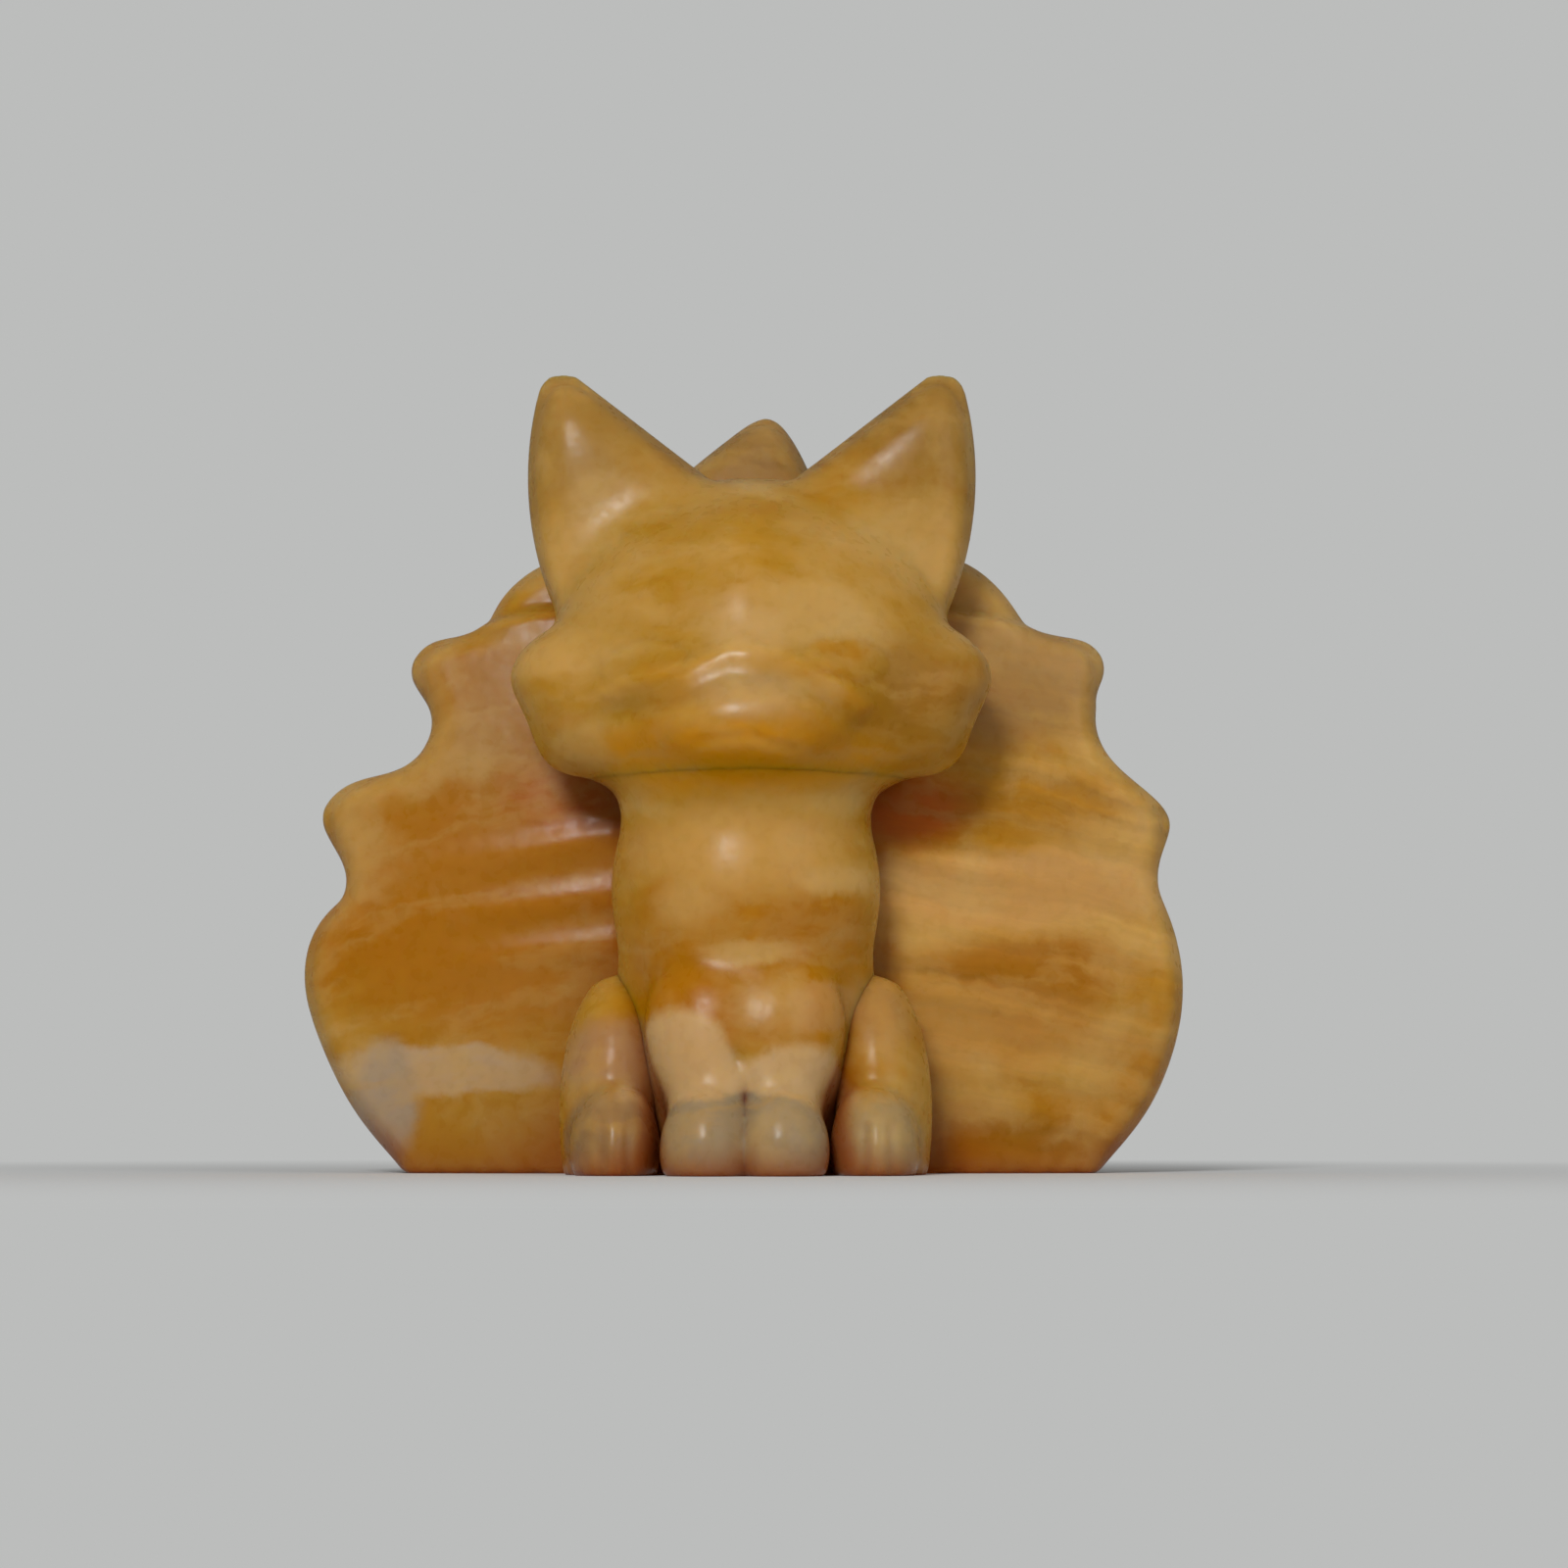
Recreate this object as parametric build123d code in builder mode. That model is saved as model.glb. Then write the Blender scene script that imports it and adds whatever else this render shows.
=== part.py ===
"""Seated fox figurine with a fan of nine tails, carved from one banded stone.

Millimetres, +Z up. The fox faces -Y and stands on the flat ground base at Z = 0.
The origin is the middle of that base. Left and right are as seen from the front.
The stone is one piece. Each carved mass is its own solid, and neighbours share a face.
"""

from build123d import *

import os

# Fan of tails: a shallow ball face in front, a dome behind, a rounded rim
FAN_FRONT_Y = 0.5
FAN_FRONT_RADIUS = 95.0
FAN_FRONT_Z = 16.0
FAN_MIDDLE_Y = 5.0
FAN_CUT_DEPTH = 20.0
RIM_ROUND = 1.0
GROOVE_DEPTH = 1.0

# The tails are drawn down to this level and cut off at the base
FOOT_Z = -2.0

# Dome behind the fan: height, half width, half depth
DOME_LEVELS = (
    (FOOT_Z, 21.5, 7.6),
    (6.0, 26.2, 8.6),
    (13.0, 27.4, 8.8),
    (20.0, 26.0, 8.6),
    (28.0, 21.6, 7.8),
    (36.0, 15.0, 6.2),
    (46.0, 6.0, 4.2),
)

# From the left foot of the fan over the top to its right foot: where two tails part on the rim,
# and where the line between them leaves the base
PARTINGS = (
    ((-17.4, FOOT_Z), -17.4),
    ((-22.7, 15.6), -7.6),
    ((-18.1, 24.4), -5.6),
    ((-14.8, 31.0), -3.6),
    ((-6.7, 36.5), -1.5),
    ((7.6, 36.2), 1.5),
    ((16.0, 30.9), 3.6),
    ((19.9, 26.4), 5.6),
    ((23.3, 16.0), 7.6),
    ((17.9, FOOT_Z), 17.9),
)
PARTING_BOW = 1.3
PARTING_RISE = 0.88
PARTING_FEET = 9.0

# Rim of each tail between its partings
TAIL_RIMS = {
    "left_tail_1": ((-19.3, 0.0), (-22.0, 3.1), (-24.3, 7.5), (-25.2, 11.3), (-24.8, 13.3)),
    "left_tail_2": ((-22.9, 17.4), (-24.2, 20.4), (-23.0, 21.9), (-19.6, 22.9)),
    "left_tail_3": ((-17.9, 26.0), (-19.2, 28.6), (-18.3, 30.0), (-16.3, 30.5)),
    "left_tail_4": ((-14.3, 32.4), (-13.0, 33.9), (-11.0, 35.0), (-9.0, 35.4)),
    "top_tail": ((-5.2, 38.4), (-0.9, 42.3), (1.3, 43.4), (2.6, 42.1), (4.4, 38.4)),
    "right_tail_4": ((9.6, 35.6), (12.4, 34.9), (14.2, 33.6), (15.3, 32.2)),
    "right_tail_3": ((18.0, 30.5), (19.8, 29.9), (20.4, 28.6), (20.0, 27.4)),
    "right_tail_2": ((20.4, 23.8), (22.6, 21.8), (24.1, 20.0), (23.5, 17.8)),
    "right_tail_1": ((24.5, 13.0), (24.8, 10.2), (24.3, 7.1), (22.6, 3.3), (19.8, 0.0)),
}

# Torso, from the base to the neck. Every profile is shares of height, width and depth
TORSO_WIDTH = 14.6
TORSO_DEPTH = 13.2
TORSO_Y = -2.9
NECK_Z = 21.6
TORSO_PROFILE = (
    (0.0, 0.70, 0.80),
    (0.20, 0.76, 0.82),
    (0.40, 0.85, 0.88),
    (0.60, 0.97, 0.97),
    (0.78, 1.0, 1.0),
    (0.95, 0.92, 0.89),
    (1.0, 0.98, 0.92),
)
TORSO_FRONT_Y = TORSO_Y - TORSO_DEPTH / 2

# Head, standing on the neck and leaning back towards the crown
HEAD_WIDTH = 22.4
HEAD_DEPTH = 16.8
HEAD_HEIGHT = 17.0
HEAD_X = 0.3
HEAD_Y = -3.0
HEAD_LEAN = 2.0
HEAD_PROFILE = (
    (0.0, 0.66, 0.74),
    (0.08, 0.90, 0.88),
    (0.27, 1.0, 0.98),
    (0.49, 0.98, 1.0),
    (0.68, 0.84, 0.91),
    (0.81, 0.63, 0.72),
    (0.92, 0.37, 0.44),
    (1.0, 0.12, 0.14),
)
HEAD_FRONT_Y = HEAD_Y - HEAD_DEPTH / 2
CROWN_Z = NECK_Z + HEAD_HEIGHT

# Muzzle, growing forward from inside the head. The profile is shares of length, width and height
MUZZLE_WIDTH = 13.6
MUZZLE_HEIGHT = 5.0
MUZZLE_RISE = 2.9
MUZZLE_ROOT = 2.0
MUZZLE_REACH = 1.8
MUZZLE_Z = NECK_Z + MUZZLE_RISE
MUZZLE_ROOT_Y = HEAD_Y - MUZZLE_ROOT
MUZZLE_TIP_Y = HEAD_FRONT_Y - MUZZLE_REACH
MUZZLE_PROFILE = ((0.0, 1.0, 1.1), (0.5, 0.97, 1.1), (0.8, 0.78, 1.0), (0.94, 0.5, 0.74), (1.0, 0.28, 0.42))

# Cheek tuft: outline out from the side of the head and up from the neck, and its share of that
# from front to back of the head's middle
CHEEK_OUTLINE = ((-4.7, 8.4), (0.0, 8.2), (2.0, 5.6), (1.1, 3.2), (0.1, 1.0), (-4.7, 0.8))
CHEEK_ROOT = (-3.7, 4.4)
CHEEK_SECTIONS = ((-5.0, 0.52), (-3.6, 0.82), (-1.2, 1.0), (1.2, 0.82), (3.4, 0.45))

# Ear: outline out from the side of the head and up from the crown, and its share of that
# from front to back of the head's middle
EAR_FOOT = (-0.6, -8.1)
EAR_BOW = (1.3, -0.6)
EAR_TIP = (0.1, 7.0)
EAR_INNER = (-8.8, 0.1)
EAR_INNER_FOOT = (-7.2, -8.1)
EAR_ROOT = (-3.7, -5.6)
EAR_ROUND = 1.4
EAR_SECTIONS = ((-0.4, 0.74), (0.5, 0.93), (2.4, 1.0), (4.4, 0.93), (6.2, 0.72))

# Forelegs, side by side in front of the torso and set back into it
FORELEG_IN = 5.7
FORELEG_BACK = 2.0
FORELEG_X = TORSO_WIDTH / 2 - FORELEG_IN
FORELEG_Y = TORSO_FRONT_Y + FORELEG_BACK
FORELEG_WIDTH = 7.4
FORELEG_DEPTH = 5.2
FORELEG_HEIGHT = 11.5
FORELEG_PROFILE = ((0.0, 0.72, 0.94), (0.40, 0.76, 1.0), (0.72, 1.0, 1.0), (1.0, 0.55, 0.5))

# Paws and thighs share one rounded profile. Each paw steps forward from its leg
PAW_PROFILE = ((0.0, 0.92, 0.93), (0.42, 1.0, 1.0), (0.8, 0.76, 0.78), (1.0, 0.24, 0.26))
FRONT_PAW_OUT = 0.4
FRONT_PAW_STEP = 1.7
FRONT_PAW_X = FORELEG_X + FRONT_PAW_OUT
FRONT_PAW_Y = FORELEG_Y - FRONT_PAW_STEP
FRONT_PAW_WIDTH = 5.0
FRONT_PAW_DEPTH = 6.2
FRONT_PAW_HEIGHT = 4.5
THIGH_OUT = 0.1
THIGH_BACK = 0.6
THIGH_X = TORSO_WIDTH / 2 + THIGH_OUT
THIGH_Y = TORSO_Y + THIGH_BACK
THIGH_WIDTH = 5.6
THIGH_DEPTH = 9.8
THIGH_HEIGHT = 10.2
HIND_PAW_IN = 0.4
HIND_PAW_STEP = 4.2
HIND_PAW_X = THIGH_X - HIND_PAW_IN
HIND_PAW_Y = THIGH_Y - HIND_PAW_STEP
HIND_PAW_WIDTH = 4.8
HIND_PAW_DEPTH = 7.6
HIND_PAW_HEIGHT = 4.6

os.makedirs("parts", exist_ok=True)


def part_line(rim_point, base_x):
    """Line between two neighbouring tails, from the base up behind the body and out to the rim."""
    bow = (base_x * PARTING_BOW, rim_point[1] * PARTING_RISE)
    return Bezier((base_x, FOOT_Z), bow, rim_point)


def is_parting(edge):
    """True for an edge that climbs from the feet of the tails, as the line between two of them does."""
    box = edge.bounding_box()
    return box.min.Z < 0 < box.max.Z and min(abs(box.min.X), abs(box.max.X)) < PARTING_FEET


def levels(width, depth, height, profile, x=0.0, y=0.0, z=0.0, lean=0.0):
    """Level ellipses for one smooth mass, drawn from its sizes and its profile."""
    sections = []
    for height_share, width_share, depth_share in profile:
        with BuildSketch(Plane.XY.offset(z + height * height_share)) as level:
            with Locations((x, y + lean * height_share)):
                Ellipse(width * width_share / 2, depth * depth_share / 2)
        sections.append(level.sketch)
    return sections


def drawn_in(point, root, share, level):
    """An outline point beside the left of the head and above a level, drawn in towards the root."""
    out = root[0] + (point[0] - root[0]) * share
    up = root[1] + (point[1] - root[1]) * share
    return (HEAD_X - HEAD_WIDTH / 2 - out, level + up)


def cut_by_fan():
    """Take away the ball whose face is the front of the fan, so the mass leans on the tails."""
    with Locations((0, FAN_FRONT_Y + FAN_FRONT_RADIUS, FAN_FRONT_Z)):
        Sphere(FAN_FRONT_RADIUS, mode=Mode.SUBTRACT)


def keep(mass, name):
    """Name one finished mass and write its file."""
    mass.part.label = name
    export_step(mass.part, f"parts/{name}.step")


# Tails
with BuildPart() as fan:
    for height, half_width, half_depth in DOME_LEVELS:
        with BuildSketch(Plane.XY.offset(height)):
            with Locations((0, FAN_MIDDLE_Y)):
                Ellipse(half_width, half_depth)
    loft()
    with Locations((0, FAN_FRONT_Y + FAN_FRONT_RADIUS, FAN_FRONT_Z)):
        Sphere(FAN_FRONT_RADIUS, mode=Mode.INTERSECT)

for (name, rim), before, after in zip(TAIL_RIMS.items(), PARTINGS, PARTINGS[1:]):
    with BuildPart() as tail:
        with BuildSketch(Plane.XZ):
            with BuildLine():
                Spline(before[0], *rim, after[0])
                Line((after[1], FOOT_Z), (before[1], FOOT_Z))
                for rim_point, base_x in (before, after):
                    if rim_point[1] > FOOT_Z:
                        part_line(rim_point, base_x)
            make_face()
        extrude(amount=-FAN_CUT_DEPTH)
        add(fan.part, mode=Mode.INTERSECT)
        back_face = tail.faces().sort_by(Axis.Y)[-1]
        partings = back_face.edges().filter_by(is_parting)
        middle = rim[len(rim) // 2]
        rim_face = tail.faces().sort_by_distance((middle[0], FAN_MIDDLE_Y, middle[1]))[0]
        fillet(rim_face.edges().filter_by(Axis.Y, reverse=True).sort_by(Axis.Y)[0], RIM_ROUND)
        for parting in partings:
            with BuildSketch(Plane(parting @ 0, x_dir=Axis.Y.direction, z_dir=parting % 0)):
                RegularPolygon(GROOVE_DEPTH, side_count=4)
            sweep(path=parting, mode=Mode.SUBTRACT)
        split(bisect_by=Plane.XY, keep=Keep.TOP)
    keep(tail, name)

# Torso and head
with BuildPart() as torso:
    loft(sections=levels(TORSO_WIDTH, TORSO_DEPTH, NECK_Z, TORSO_PROFILE, y=TORSO_Y))
    cut_by_fan()
keep(torso, "torso")

with BuildPart() as head:
    loft(
        sections=levels(
            HEAD_WIDTH, HEAD_DEPTH, HEAD_HEIGHT, HEAD_PROFILE,
            x=HEAD_X, y=HEAD_Y, z=NECK_Z, lean=HEAD_LEAN,
        )
    )
    cut_by_fan()
keep(head, "head")

with BuildPart() as muzzle:
    for reach, width_share, height_share in MUZZLE_PROFILE:
        with BuildSketch(Plane.XZ.offset(-MUZZLE_ROOT_Y - (MUZZLE_TIP_Y - MUZZLE_ROOT_Y) * reach)):
            with Locations((HEAD_X, MUZZLE_Z)):
                Ellipse(MUZZLE_WIDTH * width_share / 2, MUZZLE_HEIGHT * height_share / 2)
    loft()
    add(head.part, mode=Mode.SUBTRACT)
keep(muzzle, "muzzle")

with BuildPart() as left_ear:
    for y, share in EAR_SECTIONS:
        foot, bow, tip, inner, inner_foot = [
            drawn_in(point, EAR_ROOT, share, CROWN_Z)
            for point in (EAR_FOOT, EAR_BOW, EAR_TIP, EAR_INNER, EAR_INNER_FOOT)
        ]
        with BuildSketch(Plane.XZ.offset(-HEAD_Y - y)) as outline:
            with BuildLine():
                ThreePointArc(foot, bow, tip)
                Polyline(tip, inner, inner_foot, foot)
            make_face()
            fillet(outline.vertices().sort_by(Axis.Y)[-1], EAR_ROUND * share)
    loft()
    add(head.part, mode=Mode.SUBTRACT)
    cut_by_fan()
keep(left_ear, "left_ear")

with BuildPart() as left_cheek_tuft:
    for y, share in CHEEK_SECTIONS:
        with BuildSketch(Plane.XZ.offset(-HEAD_Y - y)):
            with BuildLine():
                points = [drawn_in(point, CHEEK_ROOT, share, NECK_Z) for point in CHEEK_OUTLINE]
                Spline(*points, periodic=True)
            make_face()
    loft()
    add(head.part, mode=Mode.SUBTRACT)
    add(muzzle.part, mode=Mode.SUBTRACT)
    add(left_ear.part, mode=Mode.SUBTRACT)
    cut_by_fan()
keep(left_cheek_tuft, "left_cheek_tuft")

# Legs and paws
with BuildPart() as left_foreleg:
    loft(
        sections=levels(
            FORELEG_WIDTH, FORELEG_DEPTH, FORELEG_HEIGHT, FORELEG_PROFILE,
            x=-FORELEG_X, y=FORELEG_Y,
        )
    )
    split(bisect_by=Plane.YZ, keep=Keep.BOTTOM)
    add(torso.part, mode=Mode.SUBTRACT)
keep(left_foreleg, "left_foreleg")

with BuildPart() as left_front_paw:
    loft(
        sections=levels(
            FRONT_PAW_WIDTH, FRONT_PAW_DEPTH, FRONT_PAW_HEIGHT, PAW_PROFILE,
            x=-FRONT_PAW_X, y=FRONT_PAW_Y,
        )
    )
    split(bisect_by=Plane.YZ, keep=Keep.BOTTOM)
    add(torso.part, mode=Mode.SUBTRACT)
    add(left_foreleg.part, mode=Mode.SUBTRACT)
keep(left_front_paw, "left_front_paw")

with BuildPart() as left_thigh:
    loft(
        sections=levels(
            THIGH_WIDTH, THIGH_DEPTH, THIGH_HEIGHT, PAW_PROFILE,
            x=-THIGH_X, y=THIGH_Y,
        )
    )
    add(torso.part, mode=Mode.SUBTRACT)
    add(left_foreleg.part, mode=Mode.SUBTRACT)
    add(left_front_paw.part, mode=Mode.SUBTRACT)
    cut_by_fan()
keep(left_thigh, "left_thigh")

with BuildPart() as left_hind_paw:
    loft(
        sections=levels(
            HIND_PAW_WIDTH, HIND_PAW_DEPTH, HIND_PAW_HEIGHT, PAW_PROFILE,
            x=-HIND_PAW_X, y=HIND_PAW_Y,
        )
    )
    add(torso.part, mode=Mode.SUBTRACT)
    add(left_foreleg.part, mode=Mode.SUBTRACT)
    add(left_front_paw.part, mode=Mode.SUBTRACT)
    add(left_thigh.part, mode=Mode.SUBTRACT)
    cut_by_fan()
keep(left_hind_paw, "left_hind_paw")

# Right side of the head and of the body
for left_mass, middle_x in (
    (left_ear, HEAD_X),
    (left_cheek_tuft, HEAD_X),
    (left_foreleg, 0.0),
    (left_front_paw, 0.0),
    (left_thigh, 0.0),
    (left_hind_paw, 0.0),
):
    with BuildPart() as right_mass:
        add(left_mass.part.mirror(Plane.YZ.offset(middle_x)))
    keep(right_mass, left_mass.part.label.replace("left", "right"))
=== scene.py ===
"""Carved calcite fox: the polished stone of the figurine and its studio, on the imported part.

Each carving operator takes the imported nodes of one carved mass, fuses copies of them into one
skin, polishes the creases and cuts the detail. Points are in millimetres while they are worked,
and become Blender's metres when a piece is finished.
"""

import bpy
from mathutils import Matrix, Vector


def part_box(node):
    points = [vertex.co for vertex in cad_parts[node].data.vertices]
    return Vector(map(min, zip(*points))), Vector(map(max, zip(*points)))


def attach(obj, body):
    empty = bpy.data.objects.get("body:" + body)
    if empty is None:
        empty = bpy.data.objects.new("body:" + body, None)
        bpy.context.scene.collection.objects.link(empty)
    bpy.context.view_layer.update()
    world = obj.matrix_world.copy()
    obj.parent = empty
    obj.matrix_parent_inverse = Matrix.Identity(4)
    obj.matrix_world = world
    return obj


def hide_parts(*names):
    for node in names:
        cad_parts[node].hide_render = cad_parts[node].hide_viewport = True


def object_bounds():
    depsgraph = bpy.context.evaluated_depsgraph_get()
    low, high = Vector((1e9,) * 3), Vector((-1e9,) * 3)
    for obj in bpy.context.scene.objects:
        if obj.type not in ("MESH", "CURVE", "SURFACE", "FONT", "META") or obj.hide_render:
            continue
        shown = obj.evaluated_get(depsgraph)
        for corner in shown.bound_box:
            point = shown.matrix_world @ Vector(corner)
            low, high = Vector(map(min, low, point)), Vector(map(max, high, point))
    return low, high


bl_info = {
    "name": "Carved Calcite Fox",
    "version": (1, 0, 0),
    "blender": (4, 5, 0),
    "location": "View3D > Sidebar > Fox",
    "description": "Dresses the packed fox figurine as polished, banded orange calcite",
    "category": "Object",
}

import math

import bmesh
import bpy
import numpy as np
from bpy.props import FloatProperty, FloatVectorProperty, PointerProperty
from mathutils import Matrix, Vector
from mathutils.bvhtree import BVHTree

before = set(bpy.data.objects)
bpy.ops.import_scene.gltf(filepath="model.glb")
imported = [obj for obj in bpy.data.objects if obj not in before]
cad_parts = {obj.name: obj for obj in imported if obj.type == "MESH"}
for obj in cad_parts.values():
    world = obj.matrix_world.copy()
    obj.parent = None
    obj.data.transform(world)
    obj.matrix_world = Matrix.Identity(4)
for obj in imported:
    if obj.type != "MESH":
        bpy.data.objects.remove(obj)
CAD_BOX = [list(corner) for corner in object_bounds()]
MM = 1000.0
PART_BOX = np.array(CAD_BOX) * MM

# The ball face on the front of the tails that the body leans on, in millimetres
FAN_FRONT_Y = 0.5
FAN_FRONT_Z = 16.0
FAN_FRONT_RADIUS = 95.0

HEAD_NODES = ("head", "muzzle", "left_cheek_tuft", "right_cheek_tuft", "left_ear", "right_ear")
BODY_NODES = ("torso", "left_foreleg", "right_foreleg", "left_front_paw", "right_front_paw")
LEFT_LEG_NODES = ("left_thigh", "left_hind_paw")
RIGHT_LEG_NODES = ("right_thigh", "right_hind_paw")
TAIL_NODES = (
    "left_tail_1", "left_tail_2", "left_tail_3", "left_tail_4", "top_tail",
    "right_tail_4", "right_tail_3", "right_tail_2", "right_tail_1",
)

# The carved detail is placed in (x, z) millimetres, as seen from the front.
# Each eye: middle, radii and turn in degrees
EYES = (((-5.4, 27.3), (2.4, 1.35), 6), ((5.4, 27.6), (2.4, 1.2), -6))
BRIDGE = ((0.1, 35.0), (0.1, 28.4))
MOUTH = ((-2.4, 23.0), (0.3, 23.3), (2.5, 22.6))

# Fold above the muzzle
MUZZLE_FOLD = ((-7.2, 25.6), (-3.3, 26.2), (-0.9, 27.2), (1.5, 27.1), (4.1, 26.2), (6.2, 24.6))

# Ridges on the front of the fan: each from near the body out to the rim
FLUTES = (
    ((-7.7, 18.8), (-13.2, 17.9), (-18.0, 17.3)), ((-7.7, 15.6), (-13.0, 15.0), (-18.5, 14.4)),
    ((-7.7, 12.8), (-12.5, 12.4), (-17.5, 11.6)), ((8.0, 17.6), (15.0, 16.8), (21.0, 15.2)),
    ((8.5, 12.6), (15.0, 11.8), (21.0, 10.0)), ((9.0, 10.6), (15.0, 9.6), (20.5, 7.6)),
    ((9.5, 8.4), (15.0, 7.2), (20.0, 5.2)), ((10.0, 6.2), (15.0, 4.9), (19.0, 3.2)),
)

# Shares of a smoothing step, out and back, so that polishing keeps the bulk of the stone
POLISH_STEP = 0.6
POLISH_BACK = 0.58
NECK_LAP = 1.5
FEWEST_POINTS = 500


def linear(hex_colour):
    """Scene linear red, green and blue of an sRGB hex colour such as b0752a."""
    shares = [int(hex_colour[i:i + 2], 16) / 255 for i in (0, 2, 4)]
    return tuple(s / 12.92 if s <= 0.04045 else ((s + 0.055) / 1.055) ** 2.4 for s in shares)


def smooth_step(low, high, value):
    """0 below low, 1 above high and an S curve between them."""
    share = np.clip((value - low) / (high - low), 0, 1)
    return share * share * (3 - 2 * share)


def blob(points, middle, radii, turn=0.0):
    """Soft oval spot on the front, seen along +Y: 1 at its middle and 0.37 at its radii."""
    across, up = points[:, 0] - middle[0], points[:, 2] - middle[1]
    c, s = math.cos(math.radians(turn)), math.sin(math.radians(turn))
    return np.exp(-(((across * c + up * s) / radii[0]) ** 2 + ((up * c - across * s) / radii[1]) ** 2))


def stroke(points, path, width):
    """Soft line on the front, seen along +Y, through the path's (x, z) points."""
    flat = points[:, (0, 2)]
    nearest = np.full(len(flat), np.inf)
    for start, end in zip(path, path[1:]):
        start, run = np.array(start), np.subtract(end, start)
        along = np.clip((flat - start) @ run / (run @ run), 0, 1)
        nearest = np.minimum(nearest, np.linalg.norm(flat - start - along[:, None] * run, axis=1))
    return np.exp(-((nearest / width) ** 2))


def fan_front(points):
    """How far each point lies in front of the ball face of the tails."""
    x, y, z = points.T
    return FAN_FRONT_Y + (x**2 + (z - FAN_FRONT_Z) ** 2) / (2 * FAN_FRONT_RADIUS) - y


class Carving:
    """One mass of stone at work: a closed skin round some nodes, and what the tools do to it."""

    def __init__(self, nodes, mesh_size):
        joined = bmesh.new()
        for node in nodes:
            joined.from_mesh(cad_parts[node].data)
        rough = bpy.data.meshes.new("rough")
        joined.to_mesh(rough)
        joined.free()
        rough.transform(Matrix.Scale(MM, 4))
        holder = bpy.data.objects.new("rough", rough)
        bpy.context.scene.collection.objects.link(holder)
        remesh = holder.modifiers.new("Fuse", "REMESH")
        remesh.mode = "VOXEL"
        remesh.voxel_size = mesh_size * MM
        remesh.use_smooth_shade = True
        graph = bpy.context.evaluated_depsgraph_get()
        self.nodes = nodes
        self.mesh = bpy.data.meshes.new_from_object(holder.evaluated_get(graph))
        bpy.data.objects.remove(holder)
        bpy.data.meshes.remove(rough)
        if len(self.mesh.vertices) < FEWEST_POINTS:
            raise RuntimeError(f"the skin round {', '.join(nodes)} came out empty")
        count = len(self.mesh.vertices)
        self.points = np.empty(count * 3, np.float32)
        self.mesh.vertices.foreach_get("co", self.points)
        self.points = self.points.reshape(-1, 3).astype(float)
        edges = np.empty(len(self.mesh.edges) * 2, np.int32)
        self.mesh.edges.foreach_get("vertices", edges)
        self.edges = edges.reshape(-1, 2)
        self.neighbours = np.bincount(edges, minlength=count)[:, None]

    def store(self):
        """Writes the worked points back to the mesh, inside the part's own box."""
        self.points = np.clip(self.points, *PART_BOX)
        self.mesh.vertices.foreach_set("co", self.points.astype(np.float32).ravel())
        self.mesh.update()

    def normals(self):
        """Outward direction at each point."""
        self.store()
        out = np.empty(len(self.points) * 3, np.float32)
        self.mesh.vertex_normals.foreach_get("vector", out)
        return out.reshape(-1, 3).astype(float)

    def pull(self):
        """From each point to the middle of its neighbours."""
        a, b = self.edges.T
        total = np.stack([
            np.bincount(a, axis[b], len(axis)) + np.bincount(b, axis[a], len(axis))
            for axis in self.points.T
        ], axis=1)
        return total / self.neighbours - self.points

    def soften(self, rounds):
        """Polishes edges and grooves round, and keeps the bulk of the form."""
        for _ in range(rounds):
            self.points += POLISH_STEP * self.pull()
            self.points -= POLISH_BACK * self.pull()

    def round_over(self, rounds, where):
        """Grinds edges round, and puts back the outline that shows from the front."""
        before = self.points.copy()
        for _ in range(rounds):
            self.points += POLISH_STEP * where[:, None] * self.pull()
        side = smooth_step(0.35, 0.0, np.abs(self.normals()[:, 1]))
        lost = (before - self.points) * side[:, None]
        self.points[:, (0, 2)] += lost[:, (0, 2)]

    def spread(self, mark, rounds):
        """A mark on the stone, spread softly over the points round it."""
        a, b = self.edges.T
        for _ in range(rounds):
            around = np.bincount(a, mark[b], len(mark)) + np.bincount(b, mark[a], len(mark))
            mark = 0.4 * mark + 0.6 * around / self.neighbours[:, 0]
        return mark

    def fill_creases(self, rounds, where=1.0):
        """Rounds out inner corners and leaves every outer form as it is."""
        share = np.broadcast_to(where, len(self.points))
        for step in range(rounds):
            if step % 6 == 0:
                out = self.normals()
            lift = np.maximum(np.einsum("ij,ij->i", self.pull(), out), 0) * share
            self.points += out * lift[:, None]

    def press(self, depth):
        """Cuts inwards by this depth at each point, or raises the stone where it is negative."""
        self.points -= self.normals() * depth[:, None]

    def facing(self, low=0.15, high=0.55):
        """1 where the stone faces the viewer and 0 at the sides and the back."""
        return smooth_step(low, high, -self.normals()[:, 1])

    def lean(self, reach, spread, sink):
        """Flares the foot of a mass where it meets the tails, and sinks its back into them."""
        gap = fan_front(self.points)
        self.press(-spread * np.clip(1 - gap / reach, 0, 1) ** 2)
        self.points[:, 1] += sink * smooth_step(0.5, 0.0, gap)

    def meet(self, nodes, reach, lowest):
        """Flares this mass above a level where other nodes come close, so that the crease is shallow."""
        others = bmesh.new()
        for node in nodes:
            others.from_mesh(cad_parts[node].data)
        others.transform(Matrix.Scale(MM, 4))
        tree = BVHTree.FromBMesh(others)
        others.free()
        found = (tree.find_nearest(point, reach)[3] for point in self.points)
        gap = np.array([reach if distance is None else distance for distance in found])
        above = smooth_step(lowest, lowest + reach, self.points[:, 2])
        self.press(-reach / 4 * above * (1 - gap / reach) ** 2)

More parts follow.
